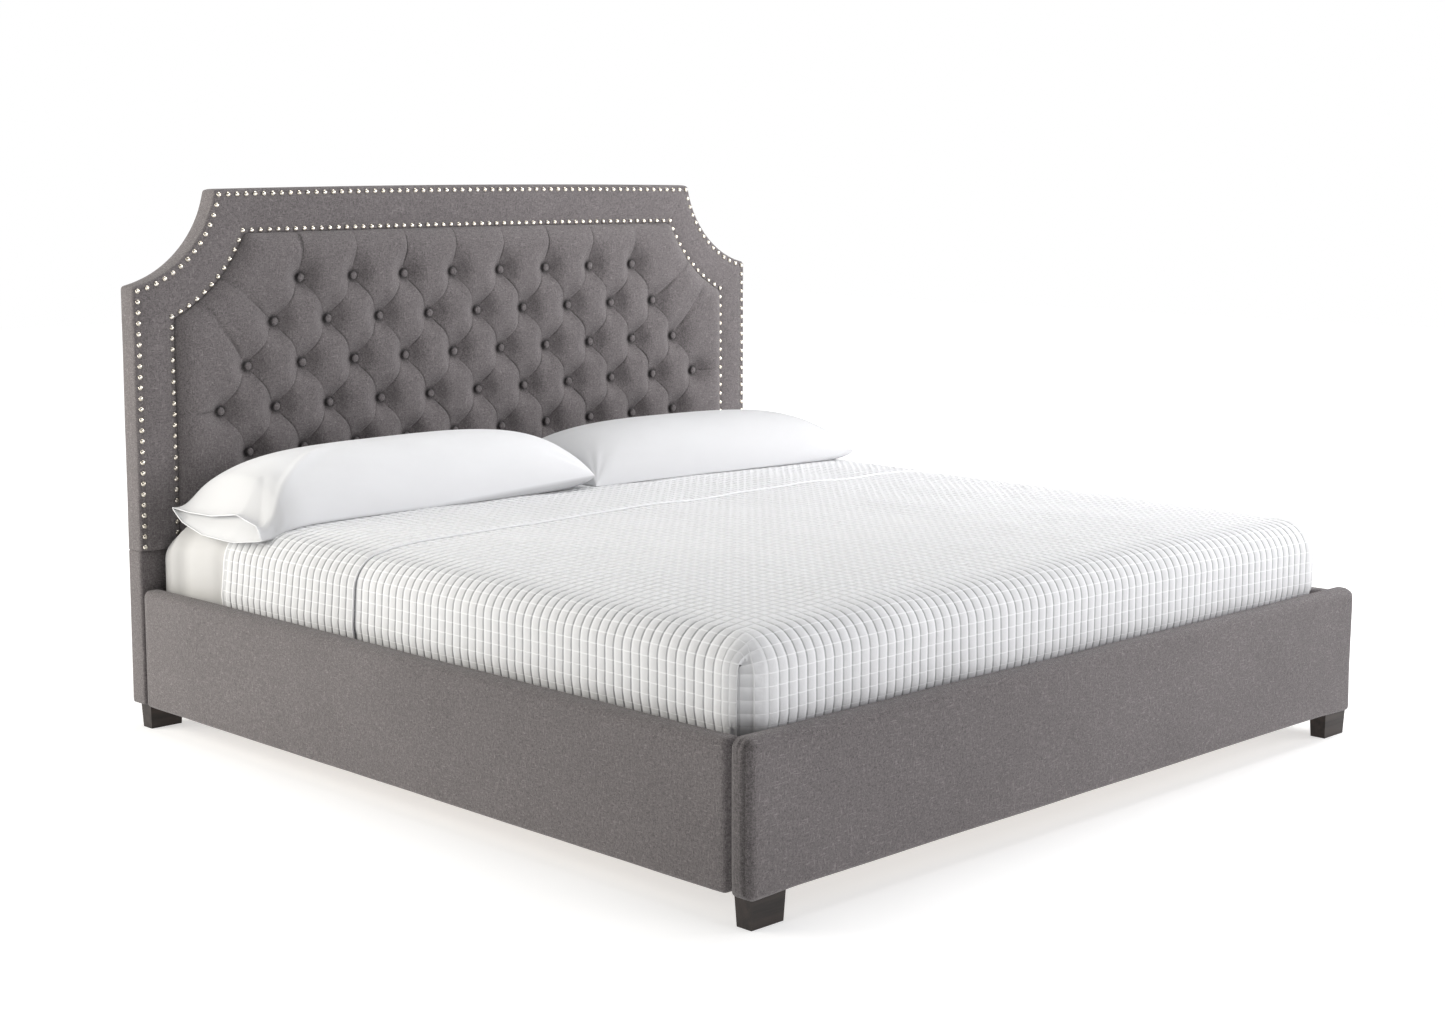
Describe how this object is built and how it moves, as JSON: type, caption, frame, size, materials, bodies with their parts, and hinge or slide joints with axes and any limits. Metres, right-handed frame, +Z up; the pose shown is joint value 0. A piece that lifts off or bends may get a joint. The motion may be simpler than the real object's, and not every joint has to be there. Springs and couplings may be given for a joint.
{
  "type": "upholstered headboard bed",
  "caption": "Upholstered platform bed with a diamond-tufted, scooped-corner headboard, padded rails and footboard, slatted base, mattress, quilted coverlet and pillows.",
  "frame": {"origin": "on the floor under the middle of the bed's overall box", "axes": "+Z up; +Y from the footboard to the headboard; +X across the bed, to the right when looking from the foot; the bed is symmetric across X"},
  "size_m": [2.1, 2.16, 1.326],
  "materials": {
    "grey_linen": "heathered mid-grey linen-look weave, matt",
    "back_lining": "dark grey spunbond lining, matt",
    "dark_leg_wood": "dark espresso stain, satin",
    "pine": "planed pine, unfinished",
    "plywood": "birch-faced plywood, unfinished",
    "nickel_nails": "polished nickel domes",
    "dark_steel": "black powder coat",
    "black_plastic": "moulded plastic, matt",
    "mattress_ticking": "off-white knitted ticking",
    "smooth_cotton": "smooth white percale",
    "pillow_cotton": "smooth white percale, slightly glossy",
    "quilted_cotton": "white matelasse cotton quilted in 25 mm squares"
  },
  "bodies": {
    "bed_frame": {"beam_bracket_foot": "dark_steel", "beam_bracket_head": "dark_steel", "centre_beam": "pine", "centre_leg_1": "pine", "centre_leg_2": "pine", "centre_leg_3": "pine", "corner_bolt_foot_left": "dark_steel", "corner_bolt_foot_right": "dark_steel", "corner_bolt_head_left": "dark_steel", "corner_bolt_head_right": "dark_steel", "corner_bracket_foot_left": "dark_steel", "corner_bracket_foot_right": "dark_steel", "corner_bracket_head_left": "dark_steel", "corner_bracket_head_right": "dark_steel", "footboard_core": "pine", "footboard_cover": "grey_linen", "headboard_back_cover": "back_lining", "headboard_border": "grey_linen", "headboard_cross_rail_bottom": "pine", "headboard_cross_rail_middle": "pine", "headboard_cross_rail_top": "pine", "headboard_lower_cover": "grey_linen", "headboard_plywood": "plywood", "headboard_stile_left": "pine", "headboard_stile_right": "pine", "headboard_tufted_panel": "grey_linen", "leg_front_left": "dark_leg_wood", "leg_front_right": "dark_leg_wood", "leg_rear_left": "dark_leg_wood", "leg_rear_right": "dark_leg_wood", "nail_row_inner": "nickel_nails", "nail_row_outer": "nickel_nails", "side_rail_core_left": "pine", "side_rail_core_right": "pine", "side_rail_cover_left": "grey_linen", "side_rail_cover_right": "grey_linen", "slat_01": "pine", "slat_02": "pine", "slat_03": "pine", "slat_04": "pine", "slat_05": "pine", "slat_06": "pine", "slat_07": "pine", "slat_08": "pine", "slat_09": "pine", "slat_10": "pine", "slat_11": "pine", "slat_12": "pine", "slat_ledger_left": "pine", "slat_ledger_right": "pine"},
    "mattress_body": {"mattress": "mattress_ticking", "fitted_sheet": "smooth_cotton", "coverlet": "quilted_cotton"},
    "pillow_left_body": {"pillow_left": "pillow_cotton"},
    "pillow_right_body": {"pillow_right": "pillow_cotton"},
    "glide_1": {"levelling_glide_1": "black_plastic"},
    "glide_2": {"levelling_glide_2": "black_plastic"},
    "glide_3": {"levelling_glide_3": "black_plastic"}
  },
  "joints": [
    {"name": "mattress_lift", "type": "slide", "parent": "bed_frame", "child": "mattress_body", "axis": [0, 0, 1], "range_m": [0, 0.4]},
    {"name": "pillow_left_lift", "type": "slide", "parent": "mattress_body", "child": "pillow_left_body", "axis": [0, 0, 1], "range_m": [0, 0.3]},
    {"name": "pillow_right_lift", "type": "slide", "parent": "mattress_body", "child": "pillow_right_body", "axis": [0, 0, 1], "range_m": [0, 0.3]},
    {"name": "glide_screw_1", "type": "slide", "parent": "bed_frame", "child": "glide_1", "axis": [0, 0, -1], "range_m": [0, 0.0125]},
    {"name": "glide_screw_2", "type": "slide", "parent": "bed_frame", "child": "glide_2", "axis": [0, 0, -1], "range_m": [0, 0.0125]},
    {"name": "glide_screw_3", "type": "slide", "parent": "bed_frame", "child": "glide_3", "axis": [0, 0, -1], "range_m": [0, 0.0125]}
  ]
}
